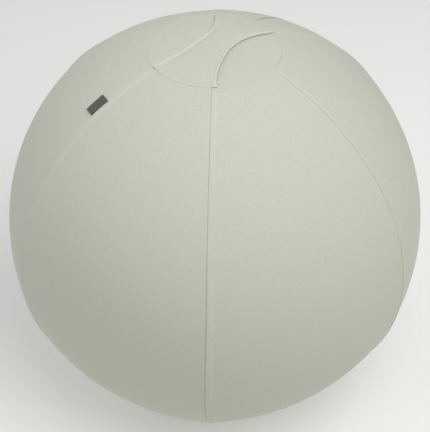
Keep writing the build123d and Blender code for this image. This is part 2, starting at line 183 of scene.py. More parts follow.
def gore_angle(polar, turn, middle):
    """Angle about the ball's axis of a place on a gore."""
    ring = gore_ring(polar)
    return middle + np.arctan2(ring * np.sin(turn), ring * np.cos(turn) - axis_shift)


def gore_points(polar, turn, lift, middle):
    """Points lifted off the plain surface of the gore whose middle is at that angle about the ball's axis."""
    ring = gore_ring(polar) + lift * np.sin(polar)
    along = ring * np.cos(turn) - axis_shift
    side = ring * np.sin(turn)
    angle = middle + np.arctan2(side, along)
    sideways = sum(
        np.interp(polar, wander_polar, wander) * bell(turn_from(seam_angle, angle), wander_width)
        for seam_angle, wander in seam_wander.items()
    )
    height = ball_middle + (ball_radius + lift) * np.cos(polar)
    return round_axis(np.hypot(along, side), angle + sideways, height)


def slot_share(angle):
    """How far the base seam opens into the zip's slot: 1 round the back, 0 in front."""
    return np.clip((zip_half_arc - np.abs(turn_from(back_turn, angle))) / zip_slot_taper, 0, 1)


def lower_radius(angle):
    """Where the gores end below: at the base seam in front, at the zip's slot round the back."""
    slot_outer_radius = ball_radius * sin(zip_turn + zip_slot_half / ball_radius)
    return zip_radius + slot_share(angle) * (slot_outer_radius - zip_radius)


def rim_radius(angle):
    """Where the gores end above: a round rim, drawn out a little by the pull of each seam."""
    pull = np.maximum(np.cos(len(gore_names) * (angle - front_turn)), 0) ** rim_corner_sharpness
    return crown_radius + rim_corner * pull


def cover_form(polar, angle):
    """Rise of the filled cover over its plain shape: seam ridges, hollow and bulge, and the strap's ends."""
    from_seam = np.abs(turn_from(front_turn, angle, 2 * half_sector))
    ridge = np.interp(from_seam * ball_radius * np.sin(polar), ridge_distance, ridge_height)
    ridge = ridge * np.interp(polar, ridge_polar, ridge_share)
    rise = ridge * (1 - bell(turn_from(back_turn, angle), flat_seam_width))
    for swell_angle, width, height, swell_polar, swell_share in swells:
        swell = height * bell(turn_from(swell_angle, angle), width)
        rise = rise + swell * np.interp(polar, swell_polar, swell_share)
    below_rim = ball_radius * (polar - gore_rim(0, crown_radius))
    end_ridge = np.interp(below_rim, end_ridge_distance, end_ridge_height)
    from_strap = np.abs(turn_from(strap_turn, angle, pi))
    return rise + end_ridge * np.interp(from_strap, end_ridge_turn, [1, 0])


def gore_sheet(middle, pucker, fold_form, tuck_form):
    """Points of a gore's outside in rows from the crown down, their places on the flat cloth, and painted
    highlight with paling from rubbing.
    """
    length = ball_radius * (pi - gore_rim(0, crown_radius) - gore_rim(0, zip_radius))
    inner_rows = np.linspace(gore_end_inset, length - gore_end_inset, gore_rows)
    rows = np.concatenate([rim_distance, inner_rows, length - rim_distance[::-1]]) / length
    down = rows[:, None]
    inner = np.linspace(0, 1, gore_columns)[None, 1:-1]
    columns = len(band_distance) + 2 * inner.size + len(pucker_across) + len(tuck_distance)
    polar = gore_rim(0, crown_radius) + down * length / ball_radius + np.zeros((1, columns))
    for _ in range(rim_rounds):
        half = gore_half_turn(polar)
        width = 2 * (half * gore_ring(polar))[:, columns // 2, None]
        pucker_line = pucker_share * width + pucker_across
        left = np.broadcast_to(band_distance, (len(rows), len(band_distance)))
        before = band_distance[-1] + inner * (pucker_line[:, :1] - band_distance[-1])
        right = width - tuck_distance[None, ::-1]
        after = pucker_line[:, -1:] + inner * (right[:, :1] - pucker_line[:, -1:])
        from_fold = np.concatenate([left, before, pucker_line, after, right], axis=1)
        turn = (2 * from_fold / width - 1) * half
        angle = gore_angle(polar, turn, middle)
        top = gore_rim(turn, rim_radius(angle))
        bottom = pi - gore_rim(turn, lower_radius(angle))
        polar = top + down * (bottom - top)
    fold_depth = np.interp(polar, line_polar, fold_form["line"])
    tuck_depth = np.interp(polar, line_polar, tuck_form["line"])
    from_rim = ball_radius * np.minimum(polar - top, bottom - polar)
    band_share = np.interp(from_rim, band_end_distance, band_end_share)
    band_share = band_share * np.interp(polar, band_polar, fold_form["band"])
    lift = np.interp(from_fold, band_distance, band_height)
    in_groove = (lift < 0) & (from_fold < groove_width)
    lift = lift * np.where(in_groove, fold_depth, band_share)
    lift = lift + np.interp(width - from_fold, tuck_distance, tuck_height) * tuck_depth
    for from_end in (polar - top, bottom - polar):
        lift = lift + np.interp(ball_radius * from_end, rim_distance, rim_height)
    lift = np.maximum(lift, rim_height[0]) + cover_form(polar, angle)
    from_pucker = from_fold - pucker_share * width
    pucker_size = pucker * np.interp(polar, pucker_polar, pucker_fade)
    lift = lift + pucker_size * np.interp(from_pucker, pucker_across, pucker_height)
    turn = turn + pucker_size * np.interp(from_pucker, pucker_across, pucker_shift) / gore_ring(polar)
    points = gore_points(polar, turn, lift, middle)
    flat = np.stack([turn * gore_ring(polar), -ball_radius * polar], axis=-1)
    # The band's fold is painted paler: mostly painted highlight, partly paling from rubbing
    rub_and_highlight = np.interp(from_fold, rub_highlight_distance, rub_highlight_share)
    rub_and_highlight = rub_and_highlight * np.interp(polar, rub_highlight_polar, rub_highlight_fade) * fold_form["rub_highlight"]
    return points, flat, rub_and_highlight


def cloth_mesh(name, points, flat, rub_and_highlight):
    """A sheet through a grid of points, welded where they meet, with its flat cloth as UV map.

    The paling it is given says where the cloth is painted paler, from 0 to 1: painted highlight where light
    catches folds and hems, partly paling from rubbing where they are folded sharply.
    """
    weld_distance = 1e-6
    rows, columns = points.shape[:2]
    index = np.arange(rows * columns).reshape(rows, columns)
    corners = [index[:-1, :-1], index[1:, :-1], index[1:, 1:], index[:-1, 1:]]
    quads = np.stack(corners, axis=-1).reshape(-1, 4)
    mesh = bpy.data.meshes.new(name)
    mesh.from_pydata(points.reshape(-1, 3).tolist(), [], quads.tolist())
    uv_map = mesh.uv_layers.new(name="cloth")
    uv_map.data.foreach_set("uv", flat.reshape(-1, 2)[quads.ravel()].ravel())
    # Painted highlight with some paling from rubbing, carried to the material
    rub_highlight = mesh.attributes.new("rub_and_highlight", "FLOAT", "POINT")
    rub_highlight.data.foreach_set("value", np.broadcast_to(rub_and_highlight, points.shape[:2]).ravel())
    welded = bmesh.new()
    welded.from_mesh(mesh)
    bmesh.ops.remove_doubles(welded, verts=welded.verts, dist=weld_distance)
    welded.to_mesh(mesh)
    welded.free()
    mesh.shade_smooth()
    return mesh


def plain_mesh(piece):
    """Applies a piece's modifiers and removes them."""
    mesh = bpy.data.meshes.new_from_object(piece.evaluated_get(bpy.context.evaluated_depsgraph_get()))
    piece.modifiers.clear()
    piece.data = mesh


def new_object(name, data):
    """A new object in the scene."""
    item = bpy.data.objects.new(name, data)
    bpy.context.collection.objects.link(item)
    return item


def cloth_piece(name, points, flat, thickness, material, offset=-1.0, rub_and_highlight=0.0):
    """A cloth piece of that thickness, whose outside is the sheet through the points."""
    sharp_edge = radians(50)
    piece = new_object(name, cloth_mesh(name, points, flat, rub_and_highlight))
    piece.data.materials.append(material)
    solidify = piece.modifiers.new("thickness", "SOLIDIFY")
    solidify.thickness = thickness
    solidify.offset = offset
    plain_mesh(piece)
    piece.data.set_sharp_from_angle(angle=sharp_edge)
    return piece


def add_node(tree, kind, inputs=None, **settings):
    """Adds a node to a tree, with its settings and what each input takes: a value or another node's output.

    It gives back the node's outputs.
    """
    node = tree.nodes.new(kind)
    for name, value in settings.items():
        setattr(node, name, value)
    for name, value in (inputs or {}).items():
        if isinstance(value, bpy.types.NodeSocket):
            tree.links.new(value, node.inputs[name])
        else:
            node.inputs[name].default_value = value
    return node.outputs


def linear(srgb):
    """Linear colour from an sRGB hex value."""
    channels = [int(srgb[at : at + 2], 16) / 255 for at in (1, 3, 5)]
    return [c / 12.92 if c <= 0.04045 else ((c + 0.055) / 1.055) ** 2.4 for c in channels] + [1.0]


def new_material(name):
    """An empty node material and its tree."""
    material = bpy.data.materials.new(name)
    material.use_nodes = True
    material.node_tree.nodes.clear()
    return material, material.node_tree


def end_material(tree, colour, relief, strength, depth, finish):
    """Ends a material's tree: its relief as a bump, its colour and finish on one shader, and the output."""
    bump = add_node(tree, "ShaderNodeBump", {"Height": relief, "Strength": strength, "Distance": depth})
    surface = {"Base Color": colour, "Normal": bump[0], **finish}
    shader = add_node(tree, "ShaderNodeBsdfPrincipled", surface)
    add_node(tree, "ShaderNodeOutputMaterial", {"Surface": shader[0]})


wave_unit = pi / 10  # how far apart the bands of a wave texture are at a scale of 1


def woven_polyester(name, light, dark, rubbed_and_lit):
    """Plain weave of textured yarn: matt and even, a soft sheen at grazing angles, and a painted highlight on
    folds, partly from rubbing.
    """
    yarn_spacing = 0.0016  # really about 0.5 mm, drawn coarser so that it shows
    slub_length = 0.004
    material, tree = new_material(name)
    place = add_node(tree, "ShaderNodeTexCoord")["UV"]
    yarns = {"Vector": place, "Scale": wave_unit / yarn_spacing, "Distortion": 1.2, "Detail Scale": 1.5}
    warp = add_node(tree, "ShaderNodeTexWave", yarns, bands_direction="X")["Fac"]
    weft = add_node(tree, "ShaderNodeTexWave", yarns, bands_direction="Y")["Fac"]
    uneven = {"Vector": place, "Scale": 1 / slub_length, "Detail": 3.0}
    slubs = add_node(tree, "ShaderNodeTexNoise", uneven)["Fac"]
    weave = add_node(tree, "ShaderNodeMath", {0: warp, 1: weft}, operation="MULTIPLY")
    relief = add_node(tree, "ShaderNodeMath", {0: weave[0], 1: slubs}, operation="ADD")
    yarn_tones = {0: slubs, 6: linear(dark), 7: linear(light)}
    yarn_colour = add_node(tree, "ShaderNodeMix", yarn_tones, data_type="RGBA")
    # Towards the pale colour where the mesh says: painted highlight, partly paling from rubbing
    rub_and_highlight = add_node(tree, "ShaderNodeAttribute", attribute_name="rub_and_highlight")["Fac"]
    rub_highlight_tones = {0: rub_and_highlight, 6: yarn_colour[2], 7: linear(rubbed_and_lit)}
    colour = add_node(tree, "ShaderNodeMix", rub_highlight_tones, data_type="RGBA")
    finish = {"Roughness": 0.85, "Specular IOR Level": 0.2, "Sheen Weight": 0.2, "Sheen Roughness": 0.5}
    end_material(tree, colour[2], relief[0], strength=0.25, depth=0.0002, finish=finish)
    return material


# The last colour is the painted highlight on folds and hems, partly paling from rubbing
cover_cloth = woven_polyester("woven polyester, sage", "#C5C6B8", "#B6B7A9", "#D6D7CA")
for gore_name, next_name in zip(gore_names, gore_names[1:] + gore_names[:1]):
    gore_grid, gore_flat, gore_rub_highlight = gore_sheet(
        gore_middles[gore_name],
        pucker=float(gore_name == puckered_gore),
        fold_form=seam_forms[gore_name],
        tuck_form=seam_forms[next_name],
    )
    gore = cloth_piece(
        f"cover_gore_{gore_name}", gore_grid, gore_flat, cloth_thickness, cover_cloth, rub_and_highlight=gore_rub_highlight
    )
    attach(gore, "ball")
    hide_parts(f"gore_{gore_name}")


# Seam topstitching
# Two rows of lockstitch in spun polyester thread hold down the folded band beside each seam.
# The thread matches the cloth, lies in the dimples that it pulls, and shows as short bright dashes.
stitch_rows = [0.0021, 0.0074]
stitch_pitch = 0.0035
stitch_length = 0.0028
thread_radius = 0.00038
stitch_size = (thread_radius, thread_radius, stitch_length / 2)
row_start_turn = 0.005
row_end_inset = 0.006


def open_tree(name, inputs, made):
    """A geometry tree with its named inputs and one output, and the sockets of what it is given."""
    tree = bpy.data.node_groups.new(name, "GeometryNodeTree")
    for input_name, kind in inputs.items():
        tree.interface.new_socket(input_name, in_out="INPUT", socket_type=f"NodeSocket{kind}")
    tree.interface.new_socket(made, in_out="OUTPUT", socket_type="NodeSocketGeometry")
    return tree, add_node(tree, "NodeGroupInput")


def end_tree(tree, given, placing, segments, rings):
    """Ends a tree with a rounded bead at each place, of the given size and material, as plain geometry."""
    bead = add_node(tree, "GeometryNodeMeshUVSphere", {"Segments": segments, "Rings": rings, "Radius": 1.0})
    smooth = add_node(tree, "GeometryNodeSetShadeSmooth", {0: bead[0]})
    placing = {"Instance": smooth[0], "Scale": given["Half Size"], **placing}
    placed = add_node(tree, "GeometryNodeInstanceOnPoints", placing)
    real = add_node(tree, "GeometryNodeRealizeInstances", {0: placed[0]})
    finished = add_node(tree, "GeometryNodeSetMaterial", {0: real[0], "Material": given["Material"]})
    add_node(tree, "NodeGroupOutput", {0: finished[0]})


def beads_on_path():
    """A tree that sets small rounded beads along a path, turned along it and facing away from a point."""
    sizes = {"Pitch": "Float", "Half Size": "Vector", "Middle": "Vector"}
    inputs = {"Path": "Geometry", **sizes, "Material": "Material"}
    tree, given = open_tree("beads_on_path", inputs, "Beads")
    path = add_node(tree, "GeometryNodeMeshToCurve", {"Mesh": given["Path"]})
    spacing = {"Curve": path[0], "Length": given["Pitch"]}
    spaced = add_node(tree, "GeometryNodeResampleCurve", spacing, mode="LENGTH")
    tangent = add_node(tree, "GeometryNodeInputTangent")
    place = add_node(tree, "GeometryNodeInputPosition")
    outward = add_node(tree, "ShaderNodeVectorMath", {0: place[0], 1: given["Middle"]}, operation="SUBTRACT")
    along = add_node(tree, "FunctionNodeAlignRotationToVector", {"Vector": tangent[0]}, axis="Z")
    turning = {"Rotation": along[0], "Vector": outward[0]}
    facing = add_node(tree, "FunctionNodeAlignRotationToVector", turning, axis="X", pivot_axis="Z")
    end_tree(tree, given, {"Points": spaced[0], "Rotation": facing[0]}, segments=6, rings=5)
    return tree


def grown(name, points, edges, tree, values):
    """The plain mesh piece that a tree makes on points and edges, with its inputs by name."""
    mesh = bpy.data.meshes.new(name)
    mesh.from_pydata([list(point) for point in points], edges, [])
    piece = new_object(name, mesh)
    modifier = piece.modifiers.new("grown", "NODES")
    modifier.node_group = tree
    for socket in tree.interface.items_tree:
        if socket.name in values:
            modifier[socket.identifier] = values[socket.name]
    plain_mesh(piece)
    return piece


bead_tree = beads_on_path()


def beads(name, paths, pitch, half_size, material):
    """Beads along several open paths, each a list of points, as one piece that faces out from the ball."""
    points = [point for path in paths for point in path]
    edges = []
    start = 0
    for path in paths:
        edges += [(start + at, start + at + 1) for at in range(len(path) - 1)]
        start += len(path)
    values = {"Pitch": pitch, "Half Size": half_size, "Middle": (0, 0, ball_middle), "Material": material}
    return grown(name, points, edges, bead_tree, values)


def grained(name, colours, grain, strength, depth, finish, detail=2.0, patch=None, coordinates="Object"):
    """A material with a grain of that size, in one colour, or in two that go with the grain or in patches."""
    material, tree = new_material(name)
    place = add_node(tree, "ShaderNodeTexCoord")[coordinates]
    pattern = {"Vector": place, "Scale": 1 / grain, "Detail": detail}
    relief = add_node(tree, "ShaderNodeTexNoise", pattern)["Fac"]
    tone = relief
    if patch:
        tone = add_node(tree, "ShaderNodeTexNoise", {"Vector": place, "Scale": 1 / patch})["Fac"]
    colour = linear(colours[0])
    if len(colours) == 2:
        tones = {0: tone, 6: linear(colours[1]), 7: colour}
        colour = add_node(tree, "ShaderNodeMix", tones, data_type="RGBA")[2]
    end_material(tree, colour, relief, strength, depth, finish)
    return material


def sewing_thread(name, colour):
    """Spun polyester thread: a soft satin twist, a little brighter than the cloth around it."""
    relief = {"grain": 0.0004, "strength": 0.3, "depth": 0.0001}
    return grained(name, [colour], finish={"Roughness": 0.6, "Sheen Weight": 0.2}, **relief)


cover_thread = sewing_thread("spun polyester thread, sage", "#C8C9BB")
row_start = gore_rim(0, crown_radius) + row_start_turn
row_end = pi - gore_rim(0, zip_radius + row_end_inset)
row_polar = np.linspace(row_start, row_end, 200)
for gore_name, gore_middle in gore_middles.items():
    band_share = np.interp(row_polar, band_polar, seam_forms[gore_name]["band"])
    rows = []
    for row_distance in stitch_rows:
        row_turn = row_distance / gore_ring(row_polar) - gore_half_turn(row_polar)
        row_height = np.interp(row_distance, band_distance, band_height) * band_share
        row_height = row_height + cover_form(row_polar, gore_angle(row_polar, row_turn, gore_middle))
        rows.append(gore_points(row_polar, row_turn, row_height, gore_middle))
    stitches = beads(f"seam_stitches_{gore_name}", rows, stitch_pitch, stitch_size, cover_thread)
    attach(stitches, "ball")


# Crown disc
# A round panel of the cover cloth that closes the gores at the top, sewn inside their rim with a plain seam.
# It is nearly flat in the middle and falls to the rim, where only a fine dark line shows.
crown_seat_radius = 0.096
crown_flat_radius = 0.045
crown_rise = 0.0045
crown_edge_inset = 0.004
rim_level = ball_middle + sqrt(ball_radius**2 - crown_seat_radius**2)
shoulder_radius = ((crown_seat_radius - crown_flat_radius) ** 2 + crown_rise**2) / (2 * crown_rise)
crown_top = rim_level + crown_rise


def crown_level(distance):
    """Height of the crown disc by distance from the ball's axis."""
    past = np.maximum(distance - crown_flat_radius, 0)
    return crown_top - shoulder_radius + np.sqrt(shoulder_radius**2 - past**2)


def rim_step(angle, distance):
    """How much higher the gores lie than the crown disc at a distance from the axis: most at the seams."""
    from_middle = turn_from(gore_middles["front_right"], angle, 2 * half_sector)
    ring = np.hypot(distance * np.cos(from_middle) + axis_shift, distance * np.sin(from_middle))
    return ball_middle + np.sqrt(ball_radius**2 - (ring - axis_shift) ** 2) - crown_level(distance)


spokes = np.linspace(0, 2 * pi, 181)[None, :]
inner_reach = np.linspace(0, crown_radius - crown_edge_inset, 48)
crown_reach = np.concatenate([inner_reach, crown_radius - rim_distance[::-1]])[:, None]
rings = crown_reach * rim_radius(spokes) / crown_radius
dip = np.interp(crown_radius - crown_reach, rim_distance, rim_height)
outer_third = np.clip(3 * crown_reach / crown_radius - 2, 0, 1)
rim_lift = rim_step(spokes, rim_radius(spokes)) * outer_third**2
crown_grid = round_axis(rings, spokes, crown_level(rings) + dip + rim_lift)
crown = cloth_piece("cover_crown", crown_grid, crown_grid[..., :2], cloth_thickness, cover_cloth)
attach(crown, "ball")
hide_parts("crown_disc")


# Carrying strap
# An hourglass of doubled cover cloth, sewn into the crown's rim at both ends and loose over the disc between.
# Its long edges are hemmed, so each has a rolled ridge with a row of stitches inside it.
strap_waist = 0.024
strap_thickness = 0.0016
strap_end_radius = 0.0959
strap_gap = 0.0065
strap_sink = 0.0001
strap_rise = crown_rise + strap_gap - strap_sink
strap_bow = (crown_seat_radius**2 + strap_rise**2) / (2 * strap_rise)
strap_droop = 0.0024
end_droop = 0.0007
# Angles from the strap's length to its corners on the rim, clockwise and anticlockwise, at the front and back
strap_corners = {1: (radians(31), radians(34.5)), -1: (radians(30.5), radians(31.5))}
# The hem on the strap's right is rolled tight and the one on its left fuller. Each is drawn out past a plain
# hourglass by a polynomial of the place from back (-1) to front (+1), and lies close over the crown
edge_ease = {
    "tight": np.array([-13.45, 3.69, 10.19, -0.35]) / 1000,
    "full": np.array([20.35, -8.19, -14.4, 7.82, 5.42]) / 1000,
}
hem_clearance = {"tight": 0.00095, "full": 0.0007}
hem_settle = 0.0003
hem_width = 0.0085
hem_sharpness = 8
# Height of the hems, and their painted highlight with some paling from rubbing, by distance from the edge
hem_distance = np.array([0, 0.2, 0.6, 1.1, 1.7, 2.3, 2.9, 3.4, 4.2, 5.5, 6.6, 7.2, 7.8, 8.6, 10]) / 1000
hem_height = {
    "tight": np.array([-10, -2, 7, 13, 14.5, 12.5, 7.5, 3.5, 2.5, 3, 3.2, 1.5, 2.5, 0.5, 0]) / 10000,
    "full": np.array([-10, -2, 7.5, 13.5, 14, 12.4, 10.4, 8.6, 5.8, 2.6, 3, 1.5, 2.5, 0.5, 0]) / 10000,
}
hem_rub_highlight = {
    "tight": np.array([0, 0.1, 0.35, 0.45, 0.45, 0.25, 0.06, 0, 0, 0, 0, 0, 0, 0, 0]),
    "full": np.array([0, 0.05, 0.15, 0.2, 0.25, 0.25, 0.2, 0.15, 0.1, 0, 0, 0, 0, 0, 0]),
}
hem_stitch_row = 0.0072
# The full hem is lower and has less painted highlight towards the back, and both lie flatter where they are
# sewn in
full_height_place = [-0.6, 0.1]
full_height_share = [0.6, 1]
full_rub_highlight_place = [-1, -0.4, 0, 1]
full_rub_highlight_share = [0, 0.6, 2.0, 1.8]
hem_end_place = [0.85, 1]
hem_end_share = [1, 0.4]
edge_dip_share = 0.3


def by_hem(is_full, give):
    """What a function gives for the full hem on its side of the strap, and for the tight hem on the other."""
    return np.where(is_full, give("full"), give("tight"))


def strap_points(along_share, across_share, lift, way):
    """Points of the strap's top: shares of its length and half width, to its front (+1) or back (-1) end."""
    corner = np.where(across_share > 0, strap_corners[way][1], strap_corners[way][0])
    corner_along = strap_end_radius * np.cos(corner)
    corner_across = strap_end_radius * np.sin(corner)
    flare = corner_across - strap_waist
    edge_radius = (corner_along**2 + flare**2) / (2 * flare)
    half_width = strap_waist + edge_radius - np.sqrt(edge_radius**2 - (corner_along * along_share) ** 2)
    place = way * along_share
    is_full = way * across_share < 0
    ease = by_hem(is_full, lambda hem: np.polyval(edge_ease[hem], place))
    half_width = half_width + ease * (1 - place**2)
    along = along_share * np.sqrt(strap_end_radius**2 - (corner_across * across_share) ** 2)
    across = across_share * half_width
    distance = np.sqrt(along**2 + across**2)
    bowed = crown_top + strap_gap - strap_bow + np.sqrt(strap_bow**2 - distance**2)
    sagged = bowed - strap_droop * np.cos(pi / 2 * along_share) ** 2 - end_droop * along_share**6
    hemmed = crown_level(distance) + by_hem(is_full, hem_clearance.get) - hem_settle * along_share**2
    in_hem = 1 / (1 + ((1 - np.abs(across_share)) * half_width / hem_width) ** hem_sharpness)
    height = sagged * (1 - in_hem) + hemmed * in_hem + strap_thickness + lift
    x = way * (along * cos(strap_turn) - across * sin(strap_turn))
    y = way * (along * sin(strap_turn) + across * cos(strap_turn))
    return np.stack([x, y, height], axis=-1), np.stack([along, across], axis=-1), half_width


along_share = np.concatenate([np.linspace(0, 0.97, 60), [0.98, 0.988, 0.994, 1.0]])[:, None]
stitched = slice(1, -4)
end_dip = np.interp(strap_end_radius * (1 - along_share), rim_distance, rim_height)
for end_name, way, nodes, end_width, strap_area in [
    ("front", 1, ["handle_end_front", "handle_grip"], 0.104, 0.0070),
    ("back", -1, ["handle_end_back"], 0.099, 0.0064),
]:
    half_widths = [strap_points(along_share, np.full((1, 1), side), 0, way)[2] for side in (-1.0, 1.0)]
    hems = [1 - hem_distance[None, :] / half_width for half_width in half_widths]
    inner = np.linspace(0, 1, 24)[None, 1:-1]
    inner_share = -hems[0][:, -1:] * (1 - inner) + hems[1][:, -1:] * inner
    across_share = np.concatenate([-hems[0], inner_share, hems[1][:, ::-1]], axis=1)
    from_edge = (1 - np.abs(across_share)) * np.where(across_share > 0, half_widths[1], half_widths[0])
    is_full = way * across_share < 0
    full_height = np.interp(way * along_share, full_height_place, full_height_share)
    full_rub_highlight = np.interp(way * along_share, full_rub_highlight_place, full_rub_highlight_share)
    strap_lift = by_hem(is_full, lambda hem: np.interp(from_edge, hem_distance, hem_height[hem]))
    strap_lift = strap_lift * np.interp(along_share, hem_end_place, hem_end_share)
    strap_lift = strap_lift * np.where(is_full, full_height, 1)
    strap_lift = strap_lift + end_dip * np.clip(from_edge / hem_distance[-1] + edge_dip_share, 0, 1)
    # The hems' rolled ridges are painted paler: painted highlight where light catches them, partly paling
    # from rubbing
    strap_rub_highlight = by_hem(is_full, lambda hem: np.interp(from_edge, hem_distance, hem_rub_highlight[hem]))
    strap_rub_highlight = strap_rub_highlight * np.where(is_full, full_rub_highlight, 1)
    strap_grid, strap_flat, _ = strap_points(along_share, across_share, strap_lift, way)
    strap = cloth_piece(
        f"strap_{end_name}", strap_grid, strap_flat, strap_thickness, cover_cloth, rub_and_highlight=strap_rub_highlight
    )
    row_lift = np.interp(hem_stitch_row, hem_distance, hem_height["tight"])
    hem_rows = []
    for side, half_width in zip((-1, 1), half_widths):
        row_share = side * (1 - hem_stitch_row / half_width[stitched])
        row_grid, _, _ = strap_points(along_share[stitched], row_share, row_lift, way)
        hem_rows.append(row_grid[:, 0])
    hem_stitches = beads(f"strap_stitches_{end_name}", hem_rows, stitch_pitch, stitch_size, cover_thread)
    for piece in (strap, hem_stitches):
        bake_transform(piece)
    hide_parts(*nodes)


# Seam tab
# A short strip of charcoal woven tape, folded double and caught in the left seam by its cut ends.
# It lies on the gore beside the seam and its lower corner stands off the cloth a little.
tab_polar = radians(33.2)
tab_length = 0.030
tab_width = 0.0187
tab_half = tab_width / 2
tab_layer = 0.0006
tab_fold_gap = 0.0003
tab_lift = 0.00025
tab_seam_gap = -0.0006
tab_curl = 0.0011
tab_upper_curl_share = 0.25
tab_skew = 0.0020
tab_taper = 0.12
tab_tilt = radians(2.5)


def woven_tape(name, light, dark):
    """Fine ribbed tape: a close weft rib along the strip, slightly glossy, painted lighter on the rib tops
    and darker between them as highlight and shade.
    """
    rib_spacing = 0.0009  # really about 0.4 mm, drawn coarser so that it shows
    fuzz_length = 0.0012
    material, tree = new_material(name)
    place = add_node(tree, "ShaderNodeTexCoord")["UV"]
    rows = {"Vector": place, "Scale": wave_unit / rib_spacing, "Distortion": 0.6, "Detail Scale": 2.0}
    ribs = add_node(tree, "ShaderNodeTexWave", rows, bands_direction="Y")["Fac"]
    fuzz = add_node(tree, "ShaderNodeTexNoise", {"Vector": place, "Scale": 1 / fuzz_length, "Detail": 2.0})
    shade = add_node(tree, "ShaderNodeMath", {0: ribs, 1: fuzz["Fac"]}, operation="MULTIPLY")
    # The rib tops are painted lighter and the hollows between ribs darker: painted highlight and shade
    tones = {0: shade[0], 6: linear(dark), 7: linear(light)}
    colour = add_node(tree, "ShaderNodeMix", tones, data_type="RGBA")
    finish = {"Roughness": 0.7, "Specular IOR Level": 0.3, "Sheen Weight": 0.15}
    end_material(tree, colour[2], ribs, strength=0.35, depth=0.0002, finish=finish)
    return material


tab_cloth = woven_tape("ribbed polyester tape, charcoal", "#60605A", "#474742")
fold_radius = (tab_layer + tab_fold_gap) / 2
fold_turn = np.linspace(-pi / 2, pi / 2, 9)
fold_start = -tab_half + fold_radius
flat_run = np.linspace(tab_half, fold_start, 24)
flat_rise = np.full(24, fold_radius)
section_across = np.concatenate([flat_run, fold_start - fold_radius * np.cos(fold_turn), flat_run[::-1]])
section_rise = np.concatenate([-flat_rise, fold_radius * np.sin(fold_turn), flat_rise])
section_height = tab_lift + tab_layer / 2 + fold_radius + section_rise
tab_along = np.linspace(-tab_length / 2, tab_length / 2, 32)[:, None]
from_top = tab_length / 2 - tab_along
lower_share = from_top / tab_length
from_root = (tab_half - section_across)[None, :]
curl_share = tab_upper_curl_share + (1 - tab_upper_curl_share) * lower_share**2
curl = tab_curl * (from_root / tab_width) ** 2 * curl_share
bend = (tab_along**2 + section_across[None, :] ** 2) / (2 * ball_radius)
tab_height = section_height[None, :] + curl - bend
tab_across = tab_half - from_root * (1 - tab_taper * lower_share) + sin(tab_tilt) * from_top
tab_inset = tab_half + tab_seam_gap + axis_shift * sin(half_sector)
tab_turn = half_sector - np.arcsin(tab_inset / gore_ring(tab_polar))
tab_angle = gore_middles["left"] + tab_turn
seat_middle = gore_points(tab_polar, tab_turn, 0, gore_middles["left"])
seat_out = Vector(gore_points(tab_polar, tab_turn, 1, gore_middles["left"]) - seat_middle)
seat_across = Vector((-sin(tab_angle), cos(tab_angle), 0))
seat_along = seat_out.cross(seat_across)
tab_grid = (
    seat_middle
    + tab_across[..., None] * np.array(seat_across)
    + (tab_along - tab_skew * from_root / tab_width)[..., None] * np.array(seat_along)
    + tab_height[..., None] * np.array(seat_out)
)
unfolded = np.concatenate([[0], np.cumsum(np.hypot(np.diff(section_across), np.diff(section_height)))])
tab_flat = np.stack([unfolded[None, :] + 0 * tab_along, tab_along + 0 * unfolded[None, :]], axis=-1)
tab = cloth_piece("seam_tab_tape", tab_grid, tab_flat, tab_layer, tab_cloth, offset=0.0)
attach(tab, "ball")
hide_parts("seam_tab")


# Base panel
# A round panel of coated polyester under the ball: flat where it stands, dished up to the gores round it.
# Small grip dots of soft rubber are printed on the flat part, and the ball stands on those.
base_edge_radius = 0.1079
base_slot_radius = ball_radius * sin(zip_turn - zip_slot_half / ball_radius)
dot_height = 0.0006
dot_radius = 0.0016
dot_spacing = 0.007
dot_margin = 0.004
dot_rows = range(-12, 13)
base_flat_radius = sqrt(ball_radius**2 - (ball_middle - dot_height) ** 2)


def base_level(distance):
    """Height of the base panel's outside by distance from the ball's axis."""
    return np.maximum(ball_middle - np.sqrt(ball_radius**2 - distance**2), dot_height)


def coated_polyester(name, colours):
    """Coated cloth: a close canvas grain under a thin matt coat."""
    relief = {"grain": 0.0012, "detail": 4.0, "strength": 0.4, "depth": 0.0003}
    return grained(name, colours, finish={"Roughness": 0.62}, coordinates="UV", **relief)


base_cloth = coated_polyester("coated polyester, charcoal", ["#5B5B55", "#4B4B46"])
base_spokes = np.linspace(0, 2 * pi, 241)[None, :]
base_reach = base_edge_radius + slot_share(base_spokes) * (base_slot_radius - base_edge_radius)
base_share = np.concatenate([[1, 0.996, 0.992, 0.986, 0.975], np.linspace(0.965, 0, 40)])[:, None]
base_rings = base_share * base_reach
base_dip = -np.interp(base_reach - base_rings, rim_distance, rim_height)
base_grid = round_axis(base_rings, base_spokes, base_level(base_rings) + base_dip)
base = cloth_piece("base_cloth_panel", base_grid, base_grid[..., :2], cloth_thickness, base_cloth)
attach(base, "ball")
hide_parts("base_panel")


def dots_on_points():
    """A tree that sets a low round dot on each point."""
    inputs = {"Points": "Geometry", "Half Size": "Vector", "Material": "Material"}
    tree, given = open_tree("dots_on_points", inputs, "Dots")
    end_tree(tree, given, {"Points": given["Points"]}, segments=10, rings=6)
    return tree


def rubber(name, colours, grain):
    """Vulcanised rubber: matt, with a fine cast grain and a faint grey bloom in patches."""
    relief = {"grain": grain, "strength": 0.3, "depth": 0.0002, "detail": 4.0}
    return grained(name, colours, finish={"Roughness": 0.7, "IOR": 1.52}, patch=0.018, **relief)


dot_rubber = rubber("printed rubber, black", ["#3C3C39", "#2C2C2A"], grain=0.0006)
dot_places = []
for row in dot_rows:
    for column in dot_rows:
        dot_x = (column + 0.5 * (row % 2)) * dot_spacing
        dot_y = row * dot_spacing * sqrt(3) / 2
        if dot_x**2 + dot_y**2 < (base_flat_radius - dot_margin) ** 2:
            dot_places.append((dot_x, dot_y, dot_height))
dot_values = {"Half Size": (dot_radius, dot_radius, dot_height), "Material": dot_rubber}
dots = grown("base_grip_dots", dot_places, [], dots_on_points(), dot_values)
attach(dots, "ball")


